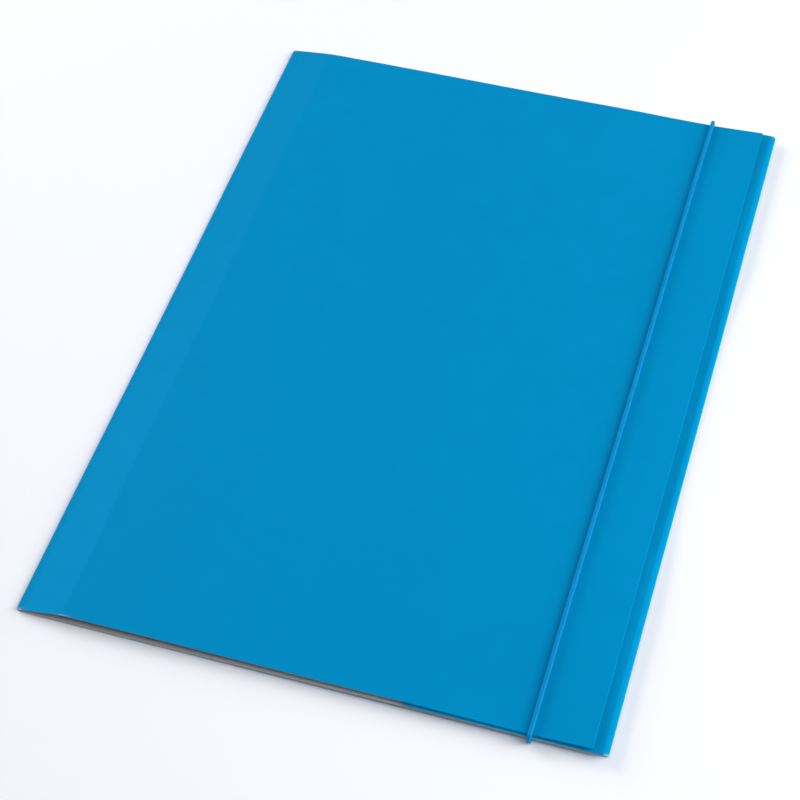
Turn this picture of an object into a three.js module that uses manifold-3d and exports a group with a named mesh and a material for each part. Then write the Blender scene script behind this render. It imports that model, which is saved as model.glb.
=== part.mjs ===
// A one-flap card folder, closed and lying on its back, with a round elastic cord round it.
// The folder is one sheet of coloured card: fore-edge flap, back cover, spine and front cover.
// The cord runs down the front, round the head and foot edges and under the back cover, and each
// of its ends goes up through a punched hole to a small metal bar that lies under the flap.
// Millimetres, +X from spine to fore edge, +Y from foot to head, +Z up, origin under the middle.

import * as THREE from 'three';
import { mergeVertices } from 'three/addons/utils/BufferGeometryUtils.js';
import Module from 'manifold-3d';

// The sheet
const folderWidth = 226;        // spine fold to fore-edge fold
const folderHeight = 320;       // foot to head, of the back cover and the flap
const boardThickness = 0.4;
const layerGap = 0.2;           // air left between two layers where they are pressed together
const spineWidth = 18.5;        // spine fold to the crease of the front cover
const flapDepth = 76;           // fore-edge fold to the inner edge of the flap
const flapCornerRadius = 5;
const foldHeight = 1.3;         // outside height of the two folds
const foldReach = 1;            // how far in from its edge a fold starts to turn
const coverShort = 5.9;         // how far the front cover stops before the fore-edge fold
const coverSetBack = 0.75;      // how far the front cover stops before the head and the foot

// How the sheet lies
const creaseRise = 3.2;         // front cover over back cover at the spine crease
const spineEndLift = 0.3;       // how far the spine corners stand off the table
const flatLength = 64;          // middle stretch of the back cover that lies flat
const liftedLength = 64;        // stretch at the head and at the foot that the cord holds up
const pressedLength = 48;       // stretch from each end over which the cord presses the layers
const flapEndRise = 0.5;        // the flap's inner edge over its pressed height, at the ends
const middleRise = 1.32;        // how far the flap springs up in the middle of the folder
const coverEdgeLift = 0.3;      // front cover over the flap's inner edge, beyond the layer gap
const edgeSlopeAtEnds = 0.049;  // the front cover's slope beyond the cord, at head and foot
const edgeSlopeInside = -0.032; // the same between them

// The elastic cord and its metal ends
const cordDiameter = 1.8;
const cordInset = 28.5;         // fore-edge fold to the cord
const holeInset = 55;           // head or foot edge to the punched hole
const holeDiameter = 2.6;
const cordClearance = 0.3;      // air between the cord or a metal end and what it lies on
const cordBendRadius = 1.2;     // middle of the cord where it turns up into a hole
const barLength = 12;
const barHeight = 0.9;
const barWall = 0.3;

// Places worked out from the sizes
const halfWidth = folderWidth / 2;
const halfHeight = folderHeight / 2;
const coverHalfHeight = halfHeight - coverSetBack;
const layerPitch = boardThickness + layerGap;
const foldPitch = foldHeight - boardThickness;
const cordRadius = cordDiameter / 2;
const cordX = folderWidth - cordInset;
const flapEdgeX = folderWidth - flapDepth;
const barStartX = cordX - barLength / 2;
const barEndX = cordX + barLength / 2;
const coverEdgeX = folderWidth - coverShort;
const foreEndLift = cordDiameter + cordClearance;
const barRoom = barHeight + 2 * cordClearance + boardThickness;

// Numbers of facets
const foldFacets = 6;
const cornerFacets = 4;
const cordSides = 8;
const holeSides = 16;

function clamp01(value) {
  return Math.min(Math.max(value, 0), 1);
}

function ease(value) {
  const t = clamp01(value);
  return t * t * (3 - 2 * t);
}

function mix(a, b, share) {
  return a + (b - a) * share;
}

// Values from start to end in equal steps, without the first one.
function steps(start, end, count) {
  return Array.from({ length: count }, (_, i) => mix(start, end, (i + 1) / count));
}

// 0 where the back cover lies flat, 1 where the cord holds it up. y is 0 in the middle.
function lifted(y) {
  const flatEnd = flatLength / 2;
  return ease((Math.abs(y) - flatEnd) / (halfHeight - liftedLength - flatEnd));
}

// 1 at the head and foot edges, 0 where the cord no longer presses the layers together.
function pressed(y) {
  return 1 - ease((halfHeight - Math.abs(y)) / pressedLength);
}

// Middle of the back cover's thickness. x is 0 at the spine fold.
function backZ(x, y) {
  const share = clamp01(x / barStartX);
  return boardThickness / 2 + mix(spineEndLift, foreEndLift, share) * lifted(y);
}

// The flap's height over the back cover, middle to middle.
function flapRise(x, y) {
  const depth = folderWidth - x;
  const loose = mix(foldPitch, barRoom, ease(depth / (folderWidth - barEndX)));
  const held = mix(foldPitch, layerPitch, ease(depth / cordInset));
  const innerEdge = flapEndRise * ease((depth - cordInset) / (flapDepth - cordInset));
  const spring = middleRise * (1 - lifted(y)) * ease(depth / cordInset);
  return mix(loose, held + innerEdge, pressed(y)) + spring;
}

// The front cover's height over the back cover, middle to middle.
function coverRise(x, y) {
  if (x > cordX) {
    const slope = mix(edgeSlopeInside, edgeSlopeAtEnds, pressed(y));
    return flapRise(cordX, y) + layerPitch + slope * (x - cordX);
  }
  if (x > flapEdgeX) {
    const inner = ease((cordX - x) / (cordX - flapEdgeX));
    return flapRise(x, y) + layerPitch + coverEdgeLift * inner;
  }
  if (x > spineWidth) {
    const share = ease((x - spineWidth) / (flapEdgeX - spineWidth));
    return mix(creaseRise, flapRise(flapEdgeX, y) + layerPitch + coverEdgeLift, share);
  }
  return mix(foldPitch, creaseRise, (x - foldReach) / (spineWidth - foldReach));
}

function coverTopZ(x, y) {
  return backZ(x, y) + coverRise(x, y) + boardThickness / 2;
}

// The sheet's section as a list of stations from the flap's inner edge to the cover's fore edge.
// A station gives half its own length, head to foot, and its place at each distance y.
function sheetStations() {
  const stations = [];
  const add = (half, place) => stations.push({ half, place });
  const flapAt = (x) => (y) => [x, backZ(x, y) + flapRise(x, y)];
  const coverAt = (x) => (y) => [x, backZ(x, y) + coverRise(x, y)];
  const foldAt = (centreX, angle) => (y) => [
    centreX + (foldReach - boardThickness / 2) * Math.cos(angle),
    backZ(centreX, y) + foldPitch / 2 * (1 + Math.sin(angle)),
  ];

  for (let i = 0; i < cornerFacets; i++) {
    const angle = (i / cornerFacets) * Math.PI / 2;
    const inward = flapCornerRadius * (1 - Math.cos(angle));
    const cut = flapCornerRadius * (1 - Math.sin(angle));
    add(halfHeight - cut, flapAt(flapEdgeX + inward));
  }
  const flapRoundEnd = flapEdgeX + flapCornerRadius;
  const foreFoldX = folderWidth - foldReach;
  const flapXs = [flapRoundEnd, ...steps(flapRoundEnd, barStartX, 3)];
  flapXs.push(cordX, barEndX, ...steps(barEndX, foreFoldX, 5).slice(0, -1));
  flapXs.forEach((x) => add(halfHeight, flapAt(x)));
  for (let i = 0; i <= foldFacets; i++) {
    add(halfHeight, foldAt(foreFoldX, Math.PI / 2 - (i / foldFacets) * Math.PI));
  }
  const backXs = [barStartX, ...steps(barStartX, foldReach, 5)];
  backXs.slice(0, -1).forEach((x) => add(halfHeight, (y) => [x, backZ(x, y)]));
  for (let i = 0; i <= foldFacets; i++) {
    add(halfHeight, foldAt(foldReach, -Math.PI / 2 - (i / foldFacets) * Math.PI));
  }
  for (const x of steps(foldReach, spineWidth, 2)) {
    add(mix(halfHeight, coverHalfHeight, x / spineWidth), coverAt(x));
  }
  const coverXs = steps(spineWidth, flapEdgeX, 7);
  coverXs.push(...steps(flapEdgeX, cordX - cordDiameter, 4));
  coverXs.push(cordX, cordX + cordDiameter);
  coverXs.push(...steps(cordX + cordDiameter, coverEdgeX, 3));
  coverXs.forEach((x) => add(coverHalfHeight, coverAt(x)));
  return stations;
}

// Distances along the folder, foot to head, closer together where the sheet bends.
function sheetRows() {
  const edge = halfHeight;
  const half = [edge, ...steps(edge, edge - pressedLength, 7)];
  half.push(...steps(edge - pressedLength, edge - liftedLength, 2));
  half.push(...steps(edge - liftedLength, flatLength / 2, 5));
  return [...half.map((y) => -y), ...half.reverse()];
}

// The sheet as one closed body: both faces of the section, half a thickness each side of its
// middle line, carried from foot to head and closed along all four cut edges.
function sheetGeometry() {
  const stations = sheetStations();
  const rows = sheetRows();
  const last = stations.length - 1;
  const positions = [];
  for (const row of rows) {
    const middles = stations.map(({ half, place }) => {
      const y = row * half / halfHeight;
      const [x, z] = place(y);
      return new THREE.Vector3(x, y, z);
    });
    middles.forEach((point, i) => {
      const before = middles[Math.max(i - 1, 0)];
      const after = middles[Math.min(i + 1, last)];
      const normal = new THREE.Vector2(before.z - after.z, after.x - before.x).normalize();
      for (const side of [1, -1]) {
        const shift = side * boardThickness / 2;
        positions.push(point.x + normal.x * shift - halfWidth, point.y, point.z + normal.y * shift);
      }
    });
  }
  const indices = [];
  const at = (row, station, side) => (row * stations.length + station) * 2 + side;
  const quad = (a, b, c, d) => indices.push(a, b, c, a, c, d);
  for (let j = 0; j < rows.length - 1; j++) {
    for (let i = 0; i < last; i++) {
      quad(at(j, i, 0), at(j, i + 1, 0), at(j + 1, i + 1, 0), at(j + 1, i, 0));
      quad(at(j, i, 1), at(j + 1, i, 1), at(j + 1, i + 1, 1), at(j, i + 1, 1));
    }
    quad(at(j, 0, 0), at(j + 1, 0, 0), at(j + 1, 0, 1), at(j, 0, 1));
    quad(at(j, last, 0), at(j, last, 1), at(j + 1, last, 1), at(j + 1, last, 0));
  }
  const head = rows.length - 1;
  for (let i = 0; i < last; i++) {
    quad(at(0, i, 0), at(0, i, 1), at(0, i + 1, 1), at(0, i + 1, 0));
    quad(at(head, i, 0), at(head, i + 1, 0), at(head, i + 1, 1), at(head, i, 1));
  }
  const geometry = new THREE.BufferGeometry();
  geometry.setAttribute('position', new THREE.Float32BufferAttribute(positions, 3));
  geometry.setIndex(indices);
  return geometry;
}

const wasm = await Module();
wasm.setup();

function toSolid(geometry) {
  const bare = geometry.clone();
  bare.deleteAttribute('normal');
  bare.deleteAttribute('uv');
  const merged = mergeVertices(bare, 1e-5);
  return new wasm.Manifold(new wasm.Mesh({
    numProp: 3,
    vertProperties: new Float32Array(merged.attributes.position.array),
    triVerts: new Uint32Array(merged.index.array),
  }));
}

function toGeometry(solid) {
  const mesh = solid.getMesh();
  const geometry = new THREE.BufferGeometry();
  geometry.setAttribute('position', new THREE.BufferAttribute(mesh.vertProperties.slice(), 3));
  geometry.setIndex(new THREE.BufferAttribute(mesh.triVerts.slice(), 1));
  geometry.computeVertexNormals();
  return geometry;
}

const holeY = halfHeight - holeInset;

// The sheet with its two punched holes in the back cover, under the flap.
function punchedSheet() {
  let sheet = toSolid(sheetGeometry());
  const holeX = cordX - halfWidth;
  const middle = backZ(cordX, holeY);
  for (const side of [-1, 1]) {
    const punch = new THREE.CylinderGeometry(
      holeDiameter / 2, holeDiameter / 2, boardThickness + layerGap, holeSides);
    punch.rotateX(Math.PI / 2);
    punch.translate(holeX, side * holeY, middle);
    sheet = sheet.subtract(toSolid(punch));
  }
  return toGeometry(sheet);
}

// Where the cord lies, as heights of its middle.
const cordUnderZ = foreEndLift - cordClearance - cordRadius;
const barBottomZ = backZ(cordX, holeY) + boardThickness / 2 + cordClearance;
const cordTipZ = barBottomZ + barHeight - barWall - cordClearance;

// The foot half of the cord's route, from its end under the flap to the middle of the front.
function cordHalfRoute() {
  const route = [];
  const add = (y, z) => route.push(new THREE.Vector3(cordX - halfWidth, y, z));
  const arc = (centreY, centreZ, radius, from, to, count) => {
    for (const angle of [from, ...steps(from, to, count)]) {
      add(centreY + radius * Math.cos(angle), centreZ + radius * Math.sin(angle));
    }
  };
  const overZ = (y) => coverTopZ(cordX, y) + cordClearance + cordRadius;
  const edgeOverZ = overZ(-coverHalfHeight);
  const wrapRadius = (edgeOverZ - cordUnderZ) / 2;
  add(-holeY, cordTipZ);
  arc(-holeY - cordBendRadius, cordUnderZ + cordBendRadius, cordBendRadius, 0, -Math.PI / 2, 4);
  steps(-holeY - cordBendRadius, -halfHeight, 3).slice(0, -1).forEach((y) => add(y, cordUnderZ));
  arc(-halfHeight, cordUnderZ + wrapRadius, wrapRadius, -Math.PI / 2, -Math.PI * 3 / 2, 8);
  const frontRows = [-coverHalfHeight, ...steps(-coverHalfHeight, pressedLength - halfHeight, 6)];
  frontRows.push(...steps(pressedLength - halfHeight, -flatLength / 2, 5));
  frontRows.forEach((y) => add(y, overZ(y)));
  return route;
}

// A path through chosen points that puts one step of an extrusion at each of them.
class PointPath extends THREE.Curve {
  constructor(points) {
    super();
    this.points = points;
  }
  getPoint(t, target = new THREE.Vector3()) {
    const place = clamp01(t) * (this.points.length - 1);
    const index = Math.min(Math.floor(place), this.points.length - 2);
    return target.copy(this.points[index]).lerp(this.points[index + 1], place - index);
  }
  getUtoTmapping(u) {
    return u;
  }
}

function cordGeometry() {
  const foot = cordHalfRoute();
  const head = foot.map((p) => new THREE.Vector3(p.x, -p.y, p.z)).reverse();
  const path = new PointPath([...foot, ...head]);
  const section = new THREE.Shape();
  const cornerRadius = cordRadius / Math.cos(Math.PI / cordSides);
  for (let i = 0; i < cordSides; i++) {
    const angle = ((i + 0.5) / cordSides) * 2 * Math.PI;
    const move = i === 0 ? 'moveTo' : 'lineTo';
    section[move](cornerRadius * Math.cos(angle), cornerRadius * Math.sin(angle));
  }
  section.closePath();
  return new THREE.ExtrudeGeometry(section, {
    steps: path.points.length - 1, extrudePath: path, bevelEnabled: false,
  });
}

// A metal end: a short strip folded to a channel, open towards the hole, with the cord's tip in it.
function barGeometry() {
  const outer = cordRadius + cordClearance + barWall;
  const inner = outer - barWall;
  const roof = barHeight - barWall;
  const section = new THREE.Shape();
  section.moveTo(-outer, 0);
  section.lineTo(-inner, 0);
  section.lineTo(-inner, roof);
  section.lineTo(inner, roof);
  section.lineTo(inner, 0);
  section.lineTo(outer, 0);
  section.lineTo(outer, barHeight);
  section.lineTo(-outer, barHeight);
  section.closePath();
  const bar = new THREE.ExtrudeGeometry(section, { depth: barLength, bevelEnabled: false });
  bar.translate(0, 0, -barLength / 2);
  bar.rotateX(Math.PI / 2);
  bar.rotateZ(Math.PI / 2);
  return bar;
}

const cardMaterial = new THREE.MeshStandardMaterial({ color: 0x0090c6, roughness: 0.62, metalness: 0 });
const cordMaterial = new THREE.MeshStandardMaterial({ color: 0x0a93d0, roughness: 0.7, metalness: 0 });
const metalMaterial = new THREE.MeshStandardMaterial({ color: 0xb9bcc0, roughness: 0.35, metalness: 1 });

const folder = new THREE.Group();

function addPiece(name, geometry, material) {
  const mesh = new THREE.Mesh(geometry, material);
  mesh.name = name;
  folder.add(mesh);
  return mesh;
}

addPiece('folder_sheet', punchedSheet(), cardMaterial);
addPiece('elastic_cord', cordGeometry(), cordMaterial);
addPiece('foot_cord_end', barGeometry(), metalMaterial)
  .position.set(cordX - halfWidth, -holeY, barBottomZ);
addPiece('head_cord_end', barGeometry(), metalMaterial)
  .position.set(cordX - halfWidth, holeY, barBottomZ);

export default folder;
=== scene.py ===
import math

import bpy
import numpy as np
from mathutils import Matrix, Vector


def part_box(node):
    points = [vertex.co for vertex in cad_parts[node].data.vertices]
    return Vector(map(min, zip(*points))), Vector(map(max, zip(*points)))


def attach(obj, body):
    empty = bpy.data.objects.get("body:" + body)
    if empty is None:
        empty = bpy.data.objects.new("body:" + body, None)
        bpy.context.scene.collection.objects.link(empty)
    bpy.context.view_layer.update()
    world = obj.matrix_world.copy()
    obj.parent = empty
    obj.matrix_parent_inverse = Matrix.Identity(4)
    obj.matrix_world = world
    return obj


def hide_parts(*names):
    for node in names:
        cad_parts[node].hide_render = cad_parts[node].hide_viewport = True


bl_info = {
    "name": "Elastic Card Folder",
    "version": (1, 0, 0),
    "blender": (4, 5, 0),
    "location": "3D View > Sidebar > Folder",
    "description": "Builds a closed one-flap card folder with its elastic cord around a packed frame",
    "category": "Add Mesh",
}

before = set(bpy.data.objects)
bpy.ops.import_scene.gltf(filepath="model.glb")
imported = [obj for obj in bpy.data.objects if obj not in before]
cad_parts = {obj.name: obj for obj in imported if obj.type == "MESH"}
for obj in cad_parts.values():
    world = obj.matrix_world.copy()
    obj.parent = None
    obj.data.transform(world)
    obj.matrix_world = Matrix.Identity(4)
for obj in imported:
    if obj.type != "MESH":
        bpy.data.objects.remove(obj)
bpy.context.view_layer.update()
sheet_low, sheet_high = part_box("folder_sheet")
bar_low, bar_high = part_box("foot_cord_end")

MM = 0.001
BODY = "root"

# Side of the photograph's square frame, in pixels, and the camera's sensor, in millimetres.
PHOTO_PIXELS = 800
SENSOR_WIDTH = 36.0

# Sockets of a Mix node that mixes colours: its share, its two colours and its result.
SHARE_IN, FIRST_IN, SECOND_IN, COLOUR_OUT = 0, 6, 7, 2


def linear_rgb(hex_colour):
    """Turns an sRGB colour written as six hex digits into linear red, green and blue."""
    srgb = np.array([int(hex_colour[i:i + 2], 16) for i in (0, 2, 4)]) / 255
    low = srgb / 12.92
    high = ((srgb + 0.055) / 1.055) ** 2.4
    return tuple(float(c) for c in np.where(srgb <= 0.04045, low, high))


def length_property(name, millimetres, description):
    """A length that the user can change, held in metres."""
    return bpy.props.FloatProperty(
        name=name, description=description, default=millimetres * MM,
        unit="LENGTH", precision=5)


def colour_property(name, hex_colour, description):
    """A linear colour that the user can change, written as sRGB hex."""
    return bpy.props.FloatVectorProperty(
        name=name, description=description, default=linear_rgb(hex_colour),
        subtype="COLOR", size=3, min=0.0, max=1.0)


class FolderSheetSizes(bpy.types.PropertyGroup):
    """Sizes of the folded sheet and of the way it lies."""

    width: length_property(
        "Width", (sheet_high.x - sheet_low.x) / MM, "Spine fold to fore-edge fold")
    height: length_property(
        "Height", (sheet_high.y - sheet_low.y) / MM, "Foot to head of the back cover")
    board: length_property("Board", 0.4, "Thickness of the card")
    layer_gap: length_property("Layer gap", 0.2, "Air between layers that are pressed together")
    spine_width: length_property("Spine width", 18.5, "Spine fold to the crease of the cover")
    flap_depth: length_property("Flap depth", 76, "Fore-edge fold to the flap's inner edge")
    flap_corner: length_property("Flap corner", 2.5, "Radius of the flap's two corners")
    cover_corner: length_property("Cover corner", 0.4, "Radius of the cover's fore corners")
    fold_height: length_property("Fold height", 1.3, "Outside height of the two folds")
    fold_reach: length_property("Fold reach", 1.6, "How far in from its edge a fold turns")
    fold_corner: length_property("Fold corner", 1.2, "Rounding of the folds' worn corners")
    cover_short: length_property("Cover short", 5.9, "Cover's fore edge to the fore-edge fold")
    cover_set_back: length_property("Cover set back", 0.75, "Cover's foot edge to the foot")
    crease_rise: length_property("Crease rise", 3.2, "Cover over back cover at the crease")
    spine_end_lift: length_property("Spine end lift", 0.3, "Spine corners off the table")
    flat_length: length_property("Flat length", 64, "Middle stretch that lies flat")
    lifted_length: length_property("Lifted length", 64, "End stretch that the cord holds up")
    pressed_length: length_property("Pressed length", 48, "End stretch that the cord presses")
    flap_end_rise: length_property("Flap end rise", 0.5, "Rise of the flap's inner edge")
    middle_rise: length_property("Middle rise", 1.32, "How far the flap springs up inside")
    cover_edge_lift: length_property("Cover edge lift", 0.3, "Cover over the flap's inner edge")
    slope_at_ends: bpy.props.FloatProperty(
        name="Slope at ends", description="Cover's slope beyond the cord, at head and foot",
        default=0.049, precision=3)
    slope_inside: bpy.props.FloatProperty(
        name="Slope inside", description="Cover's slope beyond the cord, between the ends",
        default=-0.032, precision=3)
    edge_round: length_property("Edge round", 0.12, "Softened arris of the cut edges")


class FolderCordSizes(bpy.types.PropertyGroup):
    """Sizes of the elastic cord, its holes and its metal ends."""

    diameter: length_property("Diameter", 1.8, "Diameter of the elastic cord")
    inset: length_property("Inset", 28.5, "Fore-edge fold to the cord")
    seat: length_property("Seat", 0.02, "Air between the cord and the card it lies on")
    clearance: length_property("Clearance", 0.3, "Air under the back cover and round the bars")
    hole_inset: length_property("Hole inset", 55, "Head or foot edge to the punched hole")
    hole_diameter: length_property("Hole diameter", 2.6, "Diameter of the punched holes")
    bend_radius: length_property("Bend radius", 1.2, "Cord's bend up into a hole")
    braid_pitch: length_property("Braid pitch", 1.5, "One yarn to the next, along the cord")
    bar_length: length_property(
        "Bar length", (bar_high.x - bar_low.x) / MM, "Length of a metal end")
    bar_height: length_property(
        "Bar height", (bar_high.z - bar_low.z) / MM, "Height of a metal end")
    bar_wall: length_property("Bar wall", 0.3, "Thickness of the metal strip")


class FolderFinish(bpy.types.PropertyGroup):
    """Colours of the folder and of its table."""

    card: colour_property("Card", "008bc0", "Blue face of the folder card")
    inside: colour_property("Inside", "b4b4b2", "Grey inner face of the card")
    core: colour_property("Core", "c2c2bb", "Cut edge of the card")
    cord: colour_property("Cord", "008ac3", "Yarn of the elastic cord")
    metal: colour_property("Metal", "b9bcc0", "Zinc-plated steel of the cord ends")
    table: colour_property("Table", "fcfdff", "Table top")


def ease(values):
    """Smooth step: 3t^2 - 2t^3 for t held between 0 and 1."""
    t = np.clip(values, 0.0, 1.0)
    return t * t * (3.0 - 2.0 * t)


def mix(a, b, share):
    """a where share is 0, b where it is 1, in a straight line between."""
    return a + (b - a) * share


# Five grid lines across a punched hole, in hole diameters from its middle.
HOLE_LINES = np.linspace(-0.9, 0.9, 5)


class SheetForm:
    """Heights of the folded sheet over the table, as functions of x and y in metres.

    x runs from 0 at the spine fold to the width at the fore-edge fold, and y from minus half the
    height at the foot to plus half at the head.
    """

    def __init__(self, sheet, cord):
        self.sheet = sheet
        self.cord = cord
        self.half_height = sheet.height / 2
        self.cover_half = self.half_height - sheet.cover_set_back
        self.layer_pitch = sheet.board + sheet.layer_gap
        self.fold_pitch = sheet.fold_height - sheet.board
        self.cord_x = sheet.width - cord.inset
        self.flap_edge_x = sheet.width - sheet.flap_depth
        self.cover_edge_x = sheet.width - sheet.cover_short
        self.bar_start_x = self.cord_x - cord.bar_length / 2
        self.bar_end_x = self.cord_x + cord.bar_length / 2
        self.fore_end_lift = cord.diameter + cord.clearance
        self.hole_y = self.half_height - cord.hole_inset
        self.hole_patch = HOLE_LINES * cord.hole_diameter

    def lifted(self, y):
        """0 on the flat middle stretch, 1 on the end stretches, a smooth step between."""
        flat_end = self.sheet.flat_length / 2
        rise_length = self.half_height - self.sheet.lifted_length - flat_end
        return ease((np.abs(y) - flat_end) / rise_length)

    def pressed(self, y):
        """1 at the head and foot edges, falling as a smooth step over the pressed length."""
        return 1.0 - ease((self.half_height - np.abs(y)) / self.sheet.pressed_length)

    def back(self, x, y):
        """Middle of the back cover: half a board plus an end lift that grows from the spine."""
        share = np.clip(x / self.bar_start_x, 0.0, 1.0)
        lift = mix(self.sheet.spine_end_lift, self.fore_end_lift, share)
        return self.sheet.board / 2 + lift * self.lifted(y)

    def flap_rise(self, x, y):
        """Flap over back cover: from the fold's pitch it eases to the height of a metal end where
        it is loose, or down to the layer pitch where it is pressed, plus the spring inside."""
        sheet = self.sheet
        depth = sheet.width - x
        bar_room = self.cord.bar_height + 2 * self.cord.clearance + sheet.board
        loose = mix(self.fold_pitch, bar_room, ease(depth / (sheet.width - self.bar_end_x)))
        held = mix(self.fold_pitch, self.layer_pitch, ease(depth / self.cord.inset))
        inner = (depth - self.cord.inset) / (sheet.flap_depth - self.cord.inset)
        held = held + sheet.flap_end_rise * ease(inner)
        spring = sheet.middle_rise * (1.0 - self.lifted(y)) * ease(depth / self.cord.inset)
        return mix(loose, held, self.pressed(y)) + spring

    def cover_rise(self, x, y):
        """Front cover over back cover: straight up the spine strip, eased from the crease to the
        flap's inner edge, one layer over the flap as far as the cord, then a straight slope."""
        sheet = self.sheet
        slope = mix(sheet.slope_inside, sheet.slope_at_ends, self.pressed(y))
        beyond = self.flap_rise(self.cord_x, y) + self.layer_pitch + slope * (x - self.cord_x)
        inner = ease((self.cord_x - x) / (self.cord_x - self.flap_edge_x))
        over_flap = self.flap_rise(x, y) + self.layer_pitch + sheet.cover_edge_lift * inner
        at_edge = self.flap_rise(self.flap_edge_x, y) + self.layer_pitch + sheet.cover_edge_lift
        share = ease((x - sheet.spine_width) / (self.flap_edge_x - sheet.spine_width))
        open_part = mix(sheet.crease_rise, at_edge, share)
        strip_share = (x - sheet.fold_reach) / (sheet.spine_width - sheet.fold_reach)
        strip = mix(self.fold_pitch, sheet.crease_rise, strip_share)
        regions = [x > self.cord_x, x > self.flap_edge_x, x > sheet.spine_width]
        return np.select(regions, [beyond, over_flap, open_part], strip)

    def cover_top(self, x, y):
        """Upper face of the front cover."""
        return self.back(x, y) + self.cover_rise(x, y) + self.sheet.board / 2


FLAP, FOLD, BACK, COVER = range(4)

# How far before its fold the flap's even stations end, and half the width of the cover's crease.
FOLD_MARGIN = 1.0 * MM
CREASE_HALF = 0.4 * MM

# How many stations each stretch of the sheet's section is laid out with.
STATIONS = {
    "flap corner": 9, "flap": 34, "fold": 17, "back, fold to holes": 10,
    "back, holes to spine": 34, "spine strip": 12, "cover over the gap": 36,
    "cover over the flap": 16, "cover past the cord": 12, "cover corner": 7,
}


def sheet_stations(form, inset):
    """The sheet's section from the flap's inner edge to the cover's fore edge, with its outline
    drawn in by inset.

    Each station has its panel, its own x, the x at which the back cover carries it, its turn in a
    fold, and half its length from foot to head. A fold is half an ellipse from the back cover
    round to the panel above it. The flap's and the cover's corners are quarter circles, and
    towards a fold the length is cut by r(1 - sqrt(1 - u^2)), where u is how far, in shares of the
    corner's rounding r, a station lies within r of the fold.
    """
    sheet = form.sheet
    half = form.half_height - inset
    cover_half = form.cover_half - inset
    rows = []

    def add(panel, x, carrier, turn, half_length):
        """Adds a stretch of stations, for all of which a single value holds."""
        rows.append(np.stack(np.broadcast_arrays(
            float(panel), x, carrier, turn, half_length), axis=-1).reshape(-1, 5))

    turn = np.linspace(0.0, math.pi / 2, STATIONS["flap corner"])
    radius = sheet.flap_corner
    corner_x = form.flap_edge_x + radius - (radius - inset) * np.cos(turn)
    add(FLAP, corner_x, corner_x, 0.0, half - (radius - inset) * (1 - np.sin(turn)))
    fold_x = sheet.width - sheet.fold_reach
    flap_x = np.concatenate([
        np.linspace(corner_x[-1], fold_x - FOLD_MARGIN, STATIONS["flap"])[1:],
        [fold_x - FOLD_MARGIN / 2]])
    add(FLAP, flap_x, flap_x, 0.0, half)
    reach = sheet.fold_reach - sheet.board / 2
    turn = np.linspace(math.pi / 2, -math.pi / 2, STATIONS["fold"])
    add(FOLD, fold_x + reach * np.cos(turn), fold_x, turn, half)
    patch = form.cord_x - form.hole_patch
    back_x = np.concatenate([
        np.linspace(fold_x, patch[0], STATIONS["back, fold to holes"])[1:-1], patch,
        np.linspace(patch[-1], sheet.fold_reach, STATIONS["back, holes to spine"])[1:-1]])
    add(BACK, back_x, back_x, 0.0, half)
    turn = np.linspace(-math.pi / 2, -3 * math.pi / 2, STATIONS["fold"])
    add(FOLD, sheet.fold_reach + reach * np.cos(turn), sheet.fold_reach, turn, half)
    strip_end = sheet.spine_width - CREASE_HALF
    strip_x = np.linspace(sheet.fold_reach, strip_end, STATIONS["spine strip"])[1:]
    add(COVER, strip_x, strip_x, 0.0, mix(half, cover_half, strip_x / sheet.spine_width))
    radius = sheet.cover_corner
    cover_x = np.concatenate([
        [sheet.spine_width + CREASE_HALF],
        np.linspace(sheet.spine_width, form.flap_edge_x, STATIONS["cover over the gap"])[1:],
        np.linspace(form.flap_edge_x, form.cord_x, STATIONS["cover over the flap"])[1:],
        np.linspace(
            form.cord_x, form.cover_edge_x - radius, STATIONS["cover past the cord"])[1:-1],
    ])
    add(COVER, cover_x, cover_x, 0.0, cover_half)
    turn = np.linspace(math.pi / 2, 0.0, STATIONS["cover corner"])
    corner_x = form.cover_edge_x - radius + (radius - inset) * np.cos(turn)
    add(COVER, corner_x, corner_x, 0.0, cover_half - (radius - inset) * (1 - np.sin(turn)))
    stations = np.concatenate(rows)
    to_fold = np.minimum(stations[:, 1], sheet.width - stations[:, 1])
    beyond = np.clip(1.0 - to_fold / sheet.fold_corner, 0.0, 1.0)
    stations[:, 4] -= sheet.fold_corner * (1.0 - np.sqrt(1.0 - beyond ** 2))
    return stations


def sheet_middle(form, stations, shares):
    """Middle surface of the sheet on a grid of rows (foot to head) and stations.

    shares run from -1 at the foot to 1 at the head. Each place has the station's x, its share of
    the station's half length as y, and as z the back cover's height plus the panel's rise over
    it, which in a fold is half the fold's pitch times 1 + the sine of the turn. The outer face's
    unit normal is the slope along the stations turned a quarter turn. Returns places (rows,
    stations, 3) and normals.
    """
    panel, x, carrier, turn, half = stations.T
    y = shares[:, None] * half[None, :]
    x = np.broadcast_to(x, y.shape)
    rise = np.select(
        [panel == FLAP, panel == FOLD, panel == BACK],
        [form.flap_rise(x, y), form.fold_pitch / 2 * (1 + np.sin(turn)), 0.0 * y],
        form.cover_rise(x, y))
    z = form.back(carrier, y) + rise
    places = np.stack([x, y, z], axis=-1)
    along = np.gradient(places, axis=1)
    along[..., 1] = 0.0
    along /= np.linalg.norm(along, axis=-1, keepdims=True)
    normals = np.stack([-along[..., 2], 0.0 * y, along[..., 0]], axis=-1)
    return places, normals


def vertex_grid(row_count, column_count):
    """Vertex indices of a grid, counted row by row."""
    return np.arange(row_count * column_count).reshape(row_count, column_count)


def rim_of(grid):
    """Vertex indices once round a grid: first row, last column, last row and first column."""
    return np.concatenate([grid[0, :-1], grid[:-1, -1], grid[-1, :0:-1], grid[:0:-1, 0]])


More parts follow.
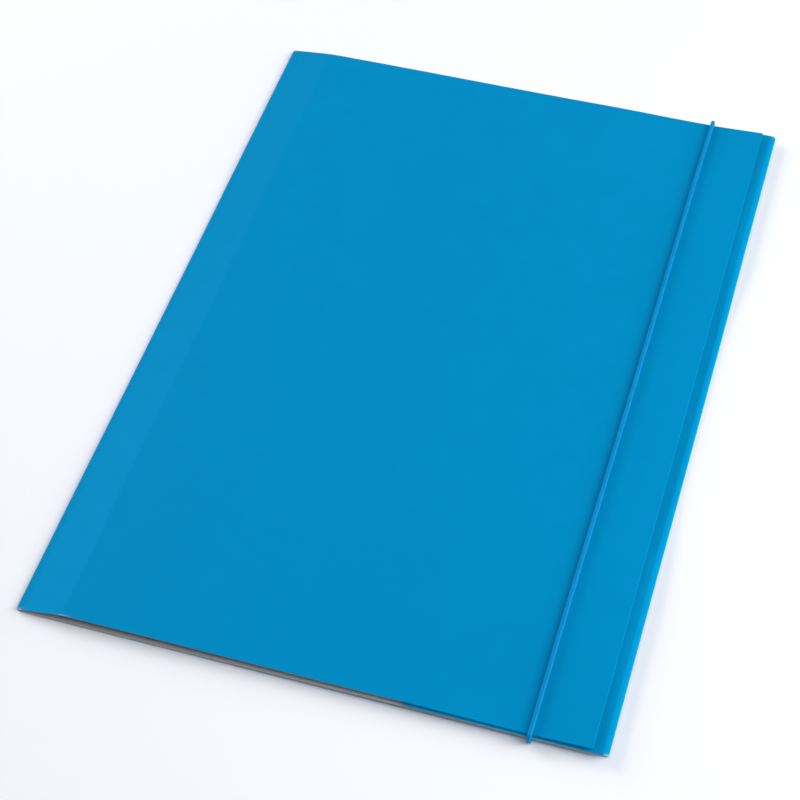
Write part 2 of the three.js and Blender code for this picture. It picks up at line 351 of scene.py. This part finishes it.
def grid_faces(grid, turned=False):
    """Quads between the neighbours in a grid of vertex indices, the other way up where turned."""
    a, b = grid[:-1, :-1], grid[:-1, 1:]
    c, d = grid[1:, 1:], grid[1:, :-1]
    corners = [a, d, c, b] if turned else [a, b, c, d]
    return np.stack(corners, axis=-1).reshape(-1, 4)


def strip_faces(upper, lower):
    """Quads between two closed rings of vertex indices, upper ring first."""
    next_upper, next_lower = np.roll(upper, -1), np.roll(lower, -1)
    return np.stack([upper, lower, next_lower, next_upper], axis=-1)


# Faces that meet at a smaller angle than this, in degrees, are shaded as one smooth surface.
SMOOTH_ANGLE = 35


def new_mesh(name, vertices, face_groups, materials):
    """Makes an object at the origin from numpy arrays.

    face_groups holds pairs of an array of faces, all with as many corners, and a material index.
    """
    mesh = bpy.data.meshes.new(name)
    faces = [np.asarray(group, dtype=np.int32) for group, _ in face_groups]
    corners = np.concatenate([group.ravel() for group in faces])
    sizes = np.concatenate([np.full(len(group), group.shape[1]) for group in faces])
    starts = np.concatenate([[0], np.cumsum(sizes)[:-1]]).astype(np.int32)
    indices = np.concatenate([np.full(len(group), index) for group, index in face_groups])
    mesh.vertices.add(len(vertices))
    mesh.vertices.foreach_set("co", np.asarray(vertices, dtype=np.float32).ravel())
    mesh.loops.add(len(corners))
    mesh.loops.foreach_set("vertex_index", corners)
    mesh.polygons.add(len(sizes))
    mesh.polygons.foreach_set("loop_start", starts)
    for material in materials:
        mesh.materials.append(material)
    mesh.polygons.foreach_set("material_index", indices.astype(np.int32))
    mesh.polygons.foreach_set("use_smooth", np.ones(len(sizes), dtype=bool))
    mesh.update(calc_edges=True)
    mesh.validate()
    mesh.set_sharp_from_angle(angle=math.radians(SMOOTH_ANGLE))
    piece = bpy.data.objects.new(name, mesh)
    bpy.context.scene.collection.objects.link(piece)
    return piece


def add_node(tree, kind, settings=None, inputs=None):
    """Adds a shader node, sets its properties, and fills or links its input sockets."""
    node = tree.nodes.new(kind)
    for key, value in (settings or {}).items():
        setattr(node, key, value)
    for key, value in (inputs or {}).items():
        if isinstance(value, bpy.types.NodeSocket):
            tree.links.new(value, node.inputs[key])
        else:
            node.inputs[key].default_value = value
    return node


def new_material(name):
    """An empty node material with its output, and the tree to fill."""
    material = bpy.data.materials.new(name)
    material.use_nodes = True
    tree = material.node_tree
    tree.nodes.clear()
    output = tree.nodes.new("ShaderNodeOutputMaterial")
    return material, tree, output


def opaque(colour):
    """A colour with full alpha."""
    return (*colour, 1.0)


def fibre_noise(tree, size, detail):
    """Noise on object coordinates whose blobs are about size metres across, 0 to 1."""
    place = add_node(tree, "ShaderNodeTexCoord")
    noise = add_node(tree, "ShaderNodeTexNoise", inputs={
        "Vector": place.outputs["Object"], "Scale": 1.0 / size, "Detail": detail})
    return noise.outputs["Fac"]


# Share by which the card is painted paler, as painted light, where its painted light mask is 1.
PAINTED_LIGHT_SHARE = 0.1


def dyed_folder_card(finish):
    """Dyed and calendered folder card: matte and even, with a faint cloudiness from its fibres,
    and broken to pale fibre at worn spots. It is painted paler along the spine strip, most at the
    foot, as painted light, and along the cover's fore edge and the fore-edge fold as painted
    highlights."""
    material, tree, output = new_material("dyed_folder_card")
    cloud = fibre_noise(tree, size=9 * MM, detail=4.0)
    fibre = fibre_noise(tree, size=0.5 * MM, detail=3.0)
    # Painted light: this mask makes the card paler on the spine strip towards its foot, and gives
    # painted highlights on the cover's fore edge and round the fore-edge fold.
    painted_light = add_node(tree, "ShaderNodeAttribute", {"attribute_name": "painted_light"})
    worn = add_node(tree, "ShaderNodeAttribute", {"attribute_name": "worn"})
    tone = add_node(tree, "ShaderNodeMapRange", inputs={
        "Value": cloud, "To Min": 0.965, "To Max": 1.035})
    paler = add_node(tree, "ShaderNodeMath", {"operation": "MULTIPLY_ADD"}, {
        0: painted_light.outputs["Fac"], 1: PAINTED_LIGHT_SHARE, 2: tone.outputs["Result"]})
    shade = add_node(tree, "ShaderNodeVectorMath", {"operation": "SCALE"}, {
        0: tuple(finish.card), "Scale": paler.outputs[0]})
    # The fibre noise is pushed to its ends, so that worn card breaks up instead of fading.
    pushed = add_node(tree, "ShaderNodeMapRange", inputs={
        "Value": fibre, "From Min": 0.42, "From Max": 0.52, "To Min": 0.25, "To Max": 1.6})
    broken = add_node(tree, "ShaderNodeMath", {"operation": "MULTIPLY", "use_clamp": True}, {
        0: worn.outputs["Fac"], 1: pushed.outputs["Result"]})
    colour = add_node(tree, "ShaderNodeMix", {"data_type": "RGBA"}, {
        SHARE_IN: broken.outputs[0], FIRST_IN: shade.outputs[0],
        SECOND_IN: opaque(finish.core)})
    height = add_node(tree, "ShaderNodeBump", inputs={
        "Strength": 0.35, "Distance": 0.02 * MM, "Height": fibre})
    shader = add_node(tree, "ShaderNodeBsdfPrincipled", inputs={
        "Base Color": colour.outputs[COLOUR_OUT], "Roughness": 0.7, "IOR": 1.5,
        "Specular IOR Level": 0.08, "Specular Tint": opaque(finish.card),
        "Normal": height.outputs[0]})
    tree.links.new(shader.outputs[0], output.inputs[0])
    return material


def grey_card_back(finish):
    """The undyed inner face of the card: grey board made with some waste paper, flecked."""
    material, tree, output = new_material("grey_card_inside")
    cloud = fibre_noise(tree, size=3 * MM, detail=4.0)
    fleck = fibre_noise(tree, size=0.6 * MM, detail=2.0)
    tone = add_node(tree, "ShaderNodeMapRange", inputs={
        "Value": cloud, "To Min": 0.92, "To Max": 1.06})
    dark = add_node(tree, "ShaderNodeMapRange", inputs={
        "Value": fleck, "From Min": 0.66, "From Max": 0.72, "To Min": 1.0, "To Max": 0.72})
    both = add_node(tree, "ShaderNodeMath", {"operation": "MULTIPLY"}, {
        0: tone.outputs["Result"], 1: dark.outputs["Result"]})
    shade = add_node(tree, "ShaderNodeVectorMath", {"operation": "SCALE"}, {
        0: tuple(finish.inside), "Scale": both.outputs[0]})
    height = add_node(tree, "ShaderNodeBump", inputs={
        "Strength": 0.5, "Distance": 0.03 * MM, "Height": fleck})
    shader = add_node(tree, "ShaderNodeBsdfPrincipled", inputs={
        "Base Color": shade.outputs[0], "Roughness": 0.85, "IOR": 1.5,
        "Specular IOR Level": 0.2, "Normal": height.outputs[0]})
    tree.links.new(shader.outputs[0], output.inputs[0])
    return material


def cut_card_core(finish):
    """The die-cut edge of the card: pale pressed fibres in fine layers along the board, six times
    as long as they are thick."""
    material, tree, output = new_material("cut_card_edge")
    place = add_node(tree, "ShaderNodeTexCoord")
    squeezed = add_node(tree, "ShaderNodeMapping", inputs={
        "Vector": place.outputs["Object"], "Scale": (1.0, 1.0, 6.0)})
    layers = add_node(tree, "ShaderNodeTexNoise", inputs={
        "Vector": squeezed.outputs[0], "Scale": 1.0 / (0.6 * MM), "Detail": 3.0})
    tone = add_node(tree, "ShaderNodeMapRange", inputs={
        "Value": layers.outputs["Fac"], "To Min": 0.8, "To Max": 1.1})
    shade = add_node(tree, "ShaderNodeVectorMath", {"operation": "SCALE"}, {
        0: tuple(finish.core), "Scale": tone.outputs["Result"]})
    height = add_node(tree, "ShaderNodeBump", inputs={
        "Strength": 0.6, "Distance": 0.04 * MM, "Height": layers.outputs["Fac"]})
    shader = add_node(tree, "ShaderNodeBsdfPrincipled", inputs={
        "Base Color": shade.outputs[0], "Roughness": 0.9, "IOR": 1.5,
        "Specular IOR Level": 0.2, "Normal": height.outputs[0]})
    tree.links.new(shader.outputs[0], output.inputs[0])
    return material


# Yarns of each of the braid's two sets, counted once round the cord.
YARNS_ROUND = 8


def braided_elastic(finish, cord):
    """Rubber cord in a fine braid of dyed polyester yarn: two sets of yarns wind round it in
    opposite directions, which leaves small ribs and a soft sheen."""
    material, tree, output = new_material("braided_elastic_cord")
    place = add_node(tree, "ShaderNodeUVMap", {"uv_map": "winding"})
    axes = add_node(tree, "ShaderNodeSeparateXYZ", inputs={0: place.outputs[0]})
    waves = []
    for direction in (1.0, -1.0):
        along = add_node(tree, "ShaderNodeMath", {"operation": "MULTIPLY"}, {
            0: axes.outputs["Y"], 1: direction / cord.braid_pitch})
        phase = add_node(tree, "ShaderNodeMath", {"operation": "MULTIPLY_ADD"}, {
            0: axes.outputs["X"], 1: float(YARNS_ROUND), 2: along.outputs[0]})
        turn = add_node(tree, "ShaderNodeMath", {"operation": "MULTIPLY"}, {
            0: phase.outputs[0], 1: 2 * math.pi})
        waves.append(add_node(tree, "ShaderNodeMath", {"operation": "SINE"}, {
            0: turn.outputs[0]}).outputs[0])
    ribs = add_node(tree, "ShaderNodeMath", {"operation": "MAXIMUM"}, {0: waves[0], 1: waves[1]})
    tone = add_node(tree, "ShaderNodeMapRange", inputs={
        "Value": ribs.outputs[0], "From Min": -1.0, "To Min": 0.88, "To Max": 1.05})
    shade = add_node(tree, "ShaderNodeVectorMath", {"operation": "SCALE"}, {
        0: tuple(finish.cord), "Scale": tone.outputs["Result"]})
    height = add_node(tree, "ShaderNodeBump", inputs={
        "Strength": 0.5, "Distance": 0.05 * MM, "Height": ribs.outputs[0]})
    shader = add_node(tree, "ShaderNodeBsdfPrincipled", inputs={
        "Base Color": shade.outputs[0], "Roughness": 0.5, "IOR": 1.5,
        "Specular IOR Level": 0.25, "Specular Tint": opaque(finish.cord),
        "Normal": height.outputs[0]})
    tree.links.new(shader.outputs[0], output.inputs[0])
    return material


def zinc_plated_strip(finish):
    """Rolled steel strip with bright zinc plating: fine drawn lines along the strip, 0.08 mm wide
    and twenty times as long, that roughen its gloss."""
    material, tree, output = new_material("zinc_plated_steel")
    place = add_node(tree, "ShaderNodeTexCoord")
    drawn = add_node(tree, "ShaderNodeMapping", inputs={
        "Vector": place.outputs["Object"], "Scale": (0.05, 1.0, 1.0)})
    lines = add_node(tree, "ShaderNodeTexNoise", inputs={
        "Vector": drawn.outputs[0], "Scale": 1.0 / (0.08 * MM), "Detail": 2.0})
    rough = add_node(tree, "ShaderNodeMapRange", inputs={
        "Value": lines.outputs["Fac"], "To Min": 0.25, "To Max": 0.45})
    shader = add_node(tree, "ShaderNodeBsdfPrincipled", inputs={
        "Base Color": opaque(finish.metal), "Metallic": 1.0,
        "Roughness": rough.outputs["Result"]})
    tree.links.new(shader.outputs[0], output.inputs[0])
    return material


# Rows of the sheet's grid: how many from its middle to a punched hole and on towards its end,
# and how far the last three lie from the end.
ROWS_TO_HOLE = 44
ROWS_PAST_HOLE = 24
LAST_ROWS = np.array([1.3, 0.4, 0.0]) * MM


def sheet_shares(form):
    """Rows of the sheet's grid as shares of half its length, from -1 to 1.

    They are close together at the ends and have five rows across each punched hole.
    """
    patch = form.hole_y + form.hole_patch
    last = form.half_height - LAST_ROWS
    rows = np.concatenate([
        np.linspace(0.0, patch[0], ROWS_TO_HOLE)[:-1], patch,
        np.linspace(patch[-1], last[0], ROWS_PAST_HOLE)[1:], last[1:]])
    return np.concatenate([-rows[:0:-1], rows]) / form.half_height


# Worn spots: how far they reach to each side of the crease and in from the ends, and how strong
# they are at the folds' corners, next to 1 at the crease.
CREASE_WEAR_WIDTH = 0.5 * MM
CREASE_WEAR_DEPTH = 0.22 * MM
CORNER_WEAR_DEPTH = 0.35 * MM
CORNER_WEAR = 0.7

# How strong the painted highlights on two stretches are, next to 1 at the foot of the spine strip,
# and their widths.
PAINTED_HIGHLIGHT_FORE_EDGE = 2.0
PAINTED_HIGHLIGHT_FORE_FOLD = 2.5
FORE_EDGE_BAND = 0.2 * MM
FORE_FOLD_BAND = 0.6 * FOLD_MARGIN


def worn_and_painted_light(form, stations, shares):
    """Two masks on the outer face.

    worn falls as a bell curve from the ends of the crease and from the folds' corners. The second
    mask is painted light: it goes from 1 at the foot to 0 at the head on the spine strip, and is an
    even painted highlight on the cover's fore edge and round the fore-edge fold.
    """
    panel, x, _, _, half = stations.T
    end = half[None, :] - np.abs(shares[:, None] * half[None, :])
    crease = (np.abs(x - form.sheet.spine_width) / CREASE_WEAR_WIDTH)[None, :]
    on_cover = (panel == COVER)[None, :]
    worn = np.where(on_cover, np.exp(-crease ** 2 - (end / CREASE_WEAR_DEPTH) ** 2), 0.0)
    at_fold_end = CORNER_WEAR * np.exp(-(end / CORNER_WEAR_DEPTH) ** 2)
    worn = np.maximum(worn, np.where((panel == FOLD)[None, :], at_fold_end, 0.0))
    on_strip = on_cover & (x < form.sheet.spine_width)[None, :]
    # Painted light: the spine strip is made paler towards its foot.
    painted_light = np.where(on_strip, 0.5 - 0.5 * shares[:, None], 0.0)
    at_fore_edge = (panel == COVER) & (x > form.cover_edge_x - FORE_EDGE_BAND)
    fold_x = form.sheet.width - form.sheet.fold_reach
    at_fore_fold = (x > fold_x - FORE_FOLD_BAND) & (panel != COVER)
    # Painted highlights along the cover's fore edge and round the fore-edge fold.
    even = PAINTED_HIGHLIGHT_FORE_EDGE * at_fore_edge + PAINTED_HIGHLIGHT_FORE_FOLD * at_fore_fold
    return worn, np.maximum(painted_light, even[None, :])


def punched_holes(form, stations, shares, first):
    """The two holes in the back cover: each takes a patch of four by four quads out of the grid
    and joins the patch's rim to a circle on both faces, with a wall between the circles.

    Returns which quads stay, the new vertices, which are numbered from first on, and the outer,
    inner and wall faces.
    """
    station_count = len(stations)
    grid = vertex_grid(len(shares), station_count)
    stays = np.ones((len(shares) - 1, station_count - 1), dtype=bool)
    on_back = np.flatnonzero(stations[:, 0] == BACK)
    column = on_back[np.argmin(np.abs(stations[on_back, 1] - form.cord_x))]
    reach = len(HOLE_LINES) // 2
    vertices, outer, inner, walls = [], [], [], []
    for hole_y in (-form.hole_y, form.hole_y):
        row = np.argmin(np.abs(shares * form.half_height - hole_y))
        rim = rim_of(grid[row - reach:row + reach + 1, column - reach:column + reach + 1])
        stays[row - reach:row + reach, column - reach:column + reach] = False
        x = stations[rim % station_count, 1] - form.cord_x
        y = shares[rim // station_count] * form.half_height - hole_y
        scale = form.cord.hole_diameter / 2 / np.hypot(x, y)
        x, y = form.cord_x + x * scale, hole_y + y * scale
        middle = form.back(x, y)
        lower = first + np.arange(len(rim))
        upper = lower + len(rim)
        first += 2 * len(rim)
        for side in (-1, 1):
            vertices.append(np.stack([x, y, middle + side * form.sheet.board / 2], axis=-1))
        outer.append(strip_faces(lower, rim))
        inner.append(strip_faces(rim + grid.size, upper))
        walls.append(strip_faces(lower[::-1], upper[::-1]))
    return (stays.ravel(), np.concatenate(vertices), np.concatenate(outer),
            np.concatenate(inner), np.concatenate(walls))


# The sheet's materials: dyed face, grey inside and pale cut edge.
DYED, GREY, CUT = range(3)


def build_sheet(form, finish):
    """The folder's one sheet of card.

    Its outer and inner faces are the middle surface moved half a board along its normal, each way.
    Two more rings, at full size and a softened arris short of each face, close the cut edge. The
    edge has taken the dye along the cover's fore edge. Where the cover lies over the flap, its edge
    is given the blue card colour too, as painted shade and painted blue light reflected from the
    flap beneath. Everywhere else it shows the pale core.
    """
    sheet = form.sheet
    stations = sheet_stations(form, sheet.edge_round)
    shares = sheet_shares(form)
    middle, normals = sheet_middle(form, stations, shares)
    grid = vertex_grid(len(shares), len(stations))
    ring = rim_of(grid)
    count = grid.size
    half_board = sheet.board / 2
    outer = (middle + normals * half_board).reshape(-1, 3)
    inner = (middle - normals * half_board).reshape(-1, 3)
    full, full_normals = sheet_middle(form, sheet_stations(form, inset=0.0), shares)
    half_wall = half_board - sheet.edge_round
    rim = full.reshape(-1, 3)[ring]
    rim_normals = full_normals.reshape(-1, 3)[ring]
    upper_rim = 2 * count + np.arange(len(ring))
    lower_rim = upper_rim + len(ring)
    edge_wall = strip_faces(upper_rim, lower_rim)
    # The cover's cut edge over the flap gets the blue card colour as painted shade and painted blue
    # light reflected from the flap; the fore edge takes the dye.
    over_flap = (stations[:-1, 0] == COVER) & (stations[:-1, 1] >= form.flap_edge_x)
    fore_edge = np.ones(len(shares) - 1, dtype=bool)
    dyed_and_painted_shade = np.concatenate([over_flap, fore_edge, over_flap[::-1], ~fore_edge])
    stays, hole_places, hole_outer, hole_inner, hole_walls = punched_holes(
        form, stations, shares, 2 * count + 2 * len(ring))
    vertices = np.concatenate([
        outer, inner, rim + rim_normals * half_wall, rim - rim_normals * half_wall,
        hole_places])
    vertices[:, 0] -= sheet.width / 2
    face_groups = [
        (grid_faces(grid)[stays], DYED),
        (hole_outer, DYED),
        (grid_faces(grid + count, turned=True)[stays], GREY),
        (hole_inner, GREY),
        (hole_walls, CUT),
        (strip_faces(ring, upper_rim), DYED),
        (edge_wall[~dyed_and_painted_shade], CUT),
        (edge_wall[dyed_and_painted_shade], DYED),
        (strip_faces(lower_rim, ring + count), GREY),
    ]
    materials = [dyed_folder_card(finish), grey_card_back(finish), cut_card_core(finish)]
    piece = new_mesh("folder_card", vertices, face_groups, materials)
    # worn marks real wear; the second attribute is painted light and painted highlights.
    for name, mask in zip(("worn", "painted_light"), worn_and_painted_light(form, stations, shares)):
        values = np.zeros(len(piece.data.vertices), dtype=np.float32)
        values[:count] = mask.ravel()
        values[upper_rim] = mask.ravel()[ring]
        attribute = piece.data.attributes.new(name, "FLOAT", "POINT")
        attribute.data.foreach_set("value", values)
    return piece


def tube(route, radius, sides):
    """A round tube along a route in the YZ plane, open at both ends, and its UV coordinates.

    Each ring is the route's point plus radius times (cos a, sin a) on the X axis and on the
    route's own normal, which is its tangent turned a quarter turn in the plane. Of the UV
    coordinates, the first is the share of the way round, and the second the length in metres.
    """
    tangent = np.gradient(route, axis=0)
    tangent /= np.linalg.norm(tangent, axis=1, keepdims=True)
    normal = np.stack([0 * tangent[:, 0], tangent[:, 2], -tangent[:, 1]], axis=1)
    across = np.array([1.0, 0.0, 0.0])
    angle = np.linspace(0.0, 2 * math.pi, sides, endpoint=False)
    ring = (np.cos(angle)[None, :, None] * across
            + np.sin(angle)[None, :, None] * normal[:, None, :])
    vertices = (route[:, None, :] + radius * ring).reshape(-1, 3)
    grid = vertex_grid(len(route), sides)
    faces = grid_faces(np.column_stack([grid, grid[:, 0]]))
    steps = np.linalg.norm(np.diff(route, axis=0), axis=1)
    length = np.concatenate([[0.0], np.cumsum(steps)])
    side_share = np.arange(sides + 1) / sides
    u0, u1 = side_share[:-1], side_share[1:]
    v0, v1 = length[:-1, None], length[1:, None]
    shape = (len(route) - 1, sides)
    corners = [
        np.stack([np.broadcast_to(part, shape) for part in parts], axis=-1)
        for parts in ((u0, u1, u1, u0), (v0, v0, v1, v1))]
    return vertices, faces, np.stack(corners, axis=-1).reshape(-1, 2)


def arc(centre_y, centre_z, radii, start, end, count):
    """Points on an arc of an ellipse in the YZ plane, both ends included."""
    angle = np.linspace(start, end, count)
    return np.stack([
        centre_y + radii[0] * np.cos(angle), centre_z + radii[1] * np.sin(angle)], axis=1)


# How many points each stretch of half the cord's route has, and how many sides the cord has.
TIP_POINTS = 5
BEND_POINTS = 9
UNDER_POINTS = 40
TURN_POINTS = 25
FRONT_POINTS = 160
CORD_SIDES = 20


def cord_route(form):
    """The cord's middle line from its foot end to its head end, in metres.

    Up through the hole it is straight, then a quarter circle, straight under the back cover, half
    an ellipse that lies on the cut edge of the back cover, and over the front it keeps the
    cover's height plus the cord's radius. The head half is the mirror image.
    """
    cord = form.cord
    radius = cord.diameter / 2
    under = form.fore_end_lift - cord.clearance - radius
    hole_y = form.hole_y
    bar_bottom = form.back(form.cord_x, hole_y) + form.sheet.board / 2 + cord.clearance
    tip = bar_bottom + cord.bar_height - cord.bar_wall - cord.clearance
    over = form.cover_top(form.cord_x, -form.cover_half) + cord.seat + radius
    wrap = (over - under) / 2
    reach = radius + cord.seat
    quarter, half_turn = math.pi / 2, math.pi
    bend = cord.bend_radius
    front_y = np.linspace(-form.cover_half, 0.0, FRONT_POINTS)
    front = np.stack([
        front_y, form.cover_top(form.cord_x, front_y) + cord.seat + radius], axis=1)
    tip_z = np.linspace(tip, under + bend, TIP_POINTS)[:-1]
    under_y = np.linspace(-hole_y - bend, -form.half_height, UNDER_POINTS)[1:-1]
    foot = np.concatenate([
        np.stack([np.full_like(tip_z, -hole_y), tip_z], axis=1),
        arc(-hole_y - bend, under + bend, (bend, bend), 0.0, -quarter, BEND_POINTS),
        np.stack([under_y, np.full_like(under_y, under)], axis=1),
        arc(-form.half_height, under + wrap, (reach, wrap), -quarter, -quarter - half_turn,
            TURN_POINTS),
        front,
    ])
    head = foot[-2::-1] * np.array([-1.0, 1.0])
    flat = np.concatenate([foot, head])
    x = np.full((len(flat), 1), form.cord_x - form.sheet.width / 2)
    return np.concatenate([x, flat], axis=1)


def build_cord(form, finish):
    """The elastic cord as a round tube with its two cut tips closed."""
    vertices, faces, uv = tube(cord_route(form), form.cord.diameter / 2, CORD_SIDES)
    first_ring = np.arange(CORD_SIDES)
    tips = np.stack([first_ring[::-1], first_ring + len(vertices) - CORD_SIDES])
    piece = new_mesh(
        "elastic_cord_round", vertices, [(faces, 0), (tips, 0)],
        [braided_elastic(finish, form.cord)])
    layer = piece.data.uv_layers.new(name="winding")
    uv = np.concatenate([uv, np.zeros((tips.size, 2))])
    layer.data.foreach_set("uv", uv.astype(np.float32).ravel())
    return piece


def declare(piece, slot, *nodes):
    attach(piece, BODY)
    if nodes:
        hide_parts(*nodes)


def form_of(scene):
    """The heights that follow from the sizes set in the scene."""
    return SheetForm(scene.folder_sheet_sizes, scene.folder_cord_sizes)


class FOLDER_OT_sheet(bpy.types.Operator):
    """Builds the folded sheet of card with its two creased folds, its flap and its holes"""

    bl_idname = "folder.build_sheet"
    bl_label = "Build folded sheet"

    def execute(self, context):
        piece = build_sheet(form_of(context.scene), context.scene.folder_finish)
        declare(piece, "card", "folder_sheet")
        return {"FINISHED"}


class FOLDER_OT_cord(bpy.types.Operator):
    """Builds the elastic cord that goes round the folder beside its fore edge"""

    bl_idname = "folder.build_cord"
    bl_label = "Build elastic cord"

    def execute(self, context):
        piece = build_cord(form_of(context.scene), context.scene.folder_finish)
        declare(piece, "elastic", "elastic_cord")
        return {"FINISHED"}


class FOLDER_OT_cord_ends(bpy.types.Operator):
    """Finishes the two folded metal ends of the cord, which keep their CAD shape"""

    bl_idname = "folder.finish_cord_ends"
    bl_label = "Finish metal ends"

    def execute(self, context):
        metal = zinc_plated_strip(context.scene.folder_finish)
        for node in ("foot_cord_end", "head_cord_end"):
            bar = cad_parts[node]
            bar.data.materials.clear()
            bar.data.materials.append(metal)
        return {"FINISHED"}


def photo_camera(target, azimuth, elevation, roll, distance, focal_pixels):
    """A camera turned about the target as the photograph was taken, angles in degrees."""
    turn, rise, lean = (math.radians(a) for a in (azimuth, elevation, roll))
    back = Vector((
        math.sin(turn) * math.cos(rise), -math.cos(turn) * math.cos(rise), math.sin(rise)))
    level_right = (-back).cross(Vector((0, 0, 1))).normalized()
    level_up = level_right.cross(-back)
    right = math.cos(lean) * level_right + math.sin(lean) * level_up
    up = -math.sin(lean) * level_right + math.cos(lean) * level_up
    data = bpy.data.cameras.new("photo_camera")
    data.sensor_width = SENSOR_WIDTH
    data.lens = focal_pixels * SENSOR_WIDTH / PHOTO_PIXELS
    camera = bpy.data.objects.new("photo_camera", data)
    place = Matrix((right, up, back)).transposed().to_4x4()
    place.translation = target + back * distance
    camera.matrix_world = place
    bpy.context.scene.collection.objects.link(camera)
    bpy.context.scene.camera = camera


def add_softbox(name, place, size, watts):
    """A square area light at place, in metres, that faces the folder."""
    data = bpy.data.lights.new(name, "AREA")
    data.size = size
    data.energy = watts
    light = bpy.data.objects.new(name, data)
    light.location = place
    light.rotation_euler = Vector(place).to_track_quat("Z", "Y").to_euler()
    bpy.context.scene.collection.objects.link(light)


# Half the table's side, how far its top lies under the folder, and the distances over which the
# camera sees it turn into plain white.
TABLE_HALF = 4.0
TABLE_DROP = 0.01 * MM
WHITE_FROM = 0.45
WHITE_TO = 0.9
WHITE = (1.0, 1.0, 1.0, 1.0)


def table_surface(finish):
    """White matt table top. The camera sees it turn into plain white far from the folder, as an
    evenly lit backdrop would be, and this adds no light."""
    material, tree, output = new_material("white_matt_table")
    shader = add_node(tree, "ShaderNodeBsdfPrincipled", inputs={
        "Base Color": opaque(finish.table), "Roughness": 0.9, "IOR": 1.5,
        "Specular IOR Level": 0.0})
    place = add_node(tree, "ShaderNodeTexCoord")
    distance = add_node(tree, "ShaderNodeVectorMath", {"operation": "LENGTH"}, {
        0: place.outputs["Object"]})
    far = add_node(tree, "ShaderNodeMapRange", {"interpolation_type": "SMOOTHSTEP"}, {
        "Value": distance.outputs["Value"], "From Min": WHITE_FROM, "From Max": WHITE_TO})
    path = add_node(tree, "ShaderNodeLightPath")
    share = add_node(tree, "ShaderNodeMath", {"operation": "MULTIPLY"}, {
        0: far.outputs["Result"], 1: path.outputs["Is Camera Ray"]})
    white = add_node(tree, "ShaderNodeEmission", inputs={"Color": WHITE})
    blend = add_node(tree, "ShaderNodeMixShader", inputs={
        0: share.outputs[0], 1: shader.outputs[0], 2: white.outputs[0]})
    tree.links.new(blend.outputs[0], output.inputs[0])
    return material


def room_light(strength, colour):
    """An even pale room all round, which the camera sees as white as the lit table."""
    world = bpy.data.worlds.new("pale_room")
    world.use_nodes = True
    world.node_tree.nodes.clear()
    path = add_node(world.node_tree, "ShaderNodeLightPath")
    light = opaque(strength * part for part in linear_rgb(colour))
    seen = add_node(world.node_tree, "ShaderNodeMix", {"data_type": "RGBA"}, {
        SHARE_IN: path.outputs["Is Camera Ray"], FIRST_IN: light, SECOND_IN: WHITE})
    background = add_node(world.node_tree, "ShaderNodeBackground", inputs={
        "Color": seen.outputs[COLOUR_OUT]})
    output = add_node(world.node_tree, "ShaderNodeOutputWorld")
    world.node_tree.links.new(background.outputs[0], output.inputs[0])
    bpy.context.scene.world = world


# The side of a soft light in metres, and each light's name, place in metres and power in watts.
SOFTBOX_SIDE = 0.8
SOFTBOXES = (
    ("softbox_left", (-1.3, 0.5, 0.55), 17.0),
    ("softbox_right", (1.3, 0.5, 0.55), 4.7),
    ("softbox_right_high", (1.1, -0.1, 0.9), 9.2),
    ("softbox_fore_edge", (1.4, 0.35, 0.3), 10.8),
    ("softbox_foot", (0.2, -0.5, 1.45), 4.5),
    ("softbox_head", (0.0, 1.4, 0.9), 1.6),
)

# The room's light, and the camera's place as fitted to the folder's outline in the photograph.
ROOM_STRENGTH = 0.165
ROOM_COLOUR = "dce6ff"
CAMERA_TARGET = Vector((-4.613, -24.922, 0.0)) * MM
CAMERA_DISTANCE = 809.671 * MM


class FOLDER_OT_stage(bpy.types.Operator):
    """Adds the table, soft lights round and over the folder and the camera of the photograph"""

    bl_idname = "folder.set_stage"
    bl_label = "Set stage"

    def execute(self, context):
        corners = np.array([(-1, -1), (1, -1), (1, 1), (-1, 1)]) * TABLE_HALF
        table = new_mesh(
            "table", np.insert(corners, 2, -TABLE_DROP, axis=1), [([[0, 1, 2, 3]], 0)],
            [table_surface(context.scene.folder_finish)])
        for name, place, watts in SOFTBOXES:
            add_softbox(name, place, SOFTBOX_SIDE, watts)
        room_light(ROOM_STRENGTH, ROOM_COLOUR)
        photo_camera(
            CAMERA_TARGET, azimuth=19.066, elevation=51.407, roll=-2.628,
            distance=CAMERA_DISTANCE, focal_pixels=2016.404)
        context.scene.view_settings.view_transform = "Standard"
        return {"FINISHED"}


class FOLDER_PT_panel(bpy.types.Panel):
    """Sizes, colours and steps of the folder"""

    bl_idname = "FOLDER_PT_panel"
    bl_label = "Card folder"
    bl_space_type = "VIEW_3D"
    bl_region_type = "UI"
    bl_category = "Folder"

    def draw(self, context):
        scene = context.scene
        for title, group in (
                ("Sheet", scene.folder_sheet_sizes),
                ("Cord", scene.folder_cord_sizes),
                ("Finish", scene.folder_finish)):
            box = self.layout.box()
            box.label(text=title)
            for name in group.bl_rna.properties.keys():
                if name not in {"rna_type", "name"}:
                    box.prop(group, name)
        for operator in OPERATORS:
            self.layout.operator(operator.bl_idname)


GROUPS = {
    "folder_sheet_sizes": FolderSheetSizes,
    "folder_cord_sizes": FolderCordSizes,
    "folder_finish": FolderFinish,
}
OPERATORS = (FOLDER_OT_sheet, FOLDER_OT_cord, FOLDER_OT_cord_ends, FOLDER_OT_stage)


def register():
    """Registers the sizes, the operators and the panel."""
    for name, group in GROUPS.items():
        bpy.utils.register_class(group)
        setattr(bpy.types.Scene, name, bpy.props.PointerProperty(type=group))
    for operator in OPERATORS:
        bpy.utils.register_class(operator)
    bpy.utils.register_class(FOLDER_PT_panel)


def unregister():
    """Takes back what register adds."""
    bpy.utils.unregister_class(FOLDER_PT_panel)
    for operator in reversed(OPERATORS):
        bpy.utils.unregister_class(operator)
    for name, group in GROUPS.items():
        delattr(bpy.types.Scene, name)
        bpy.utils.unregister_class(group)


def main():
    """Builds the folder and its stage."""
    register()
    bpy.ops.folder.build_sheet()
    bpy.ops.folder.build_cord()
    bpy.ops.folder.finish_cord_ends()
    bpy.ops.folder.set_stage()


if __name__ == "__main__":
    main()
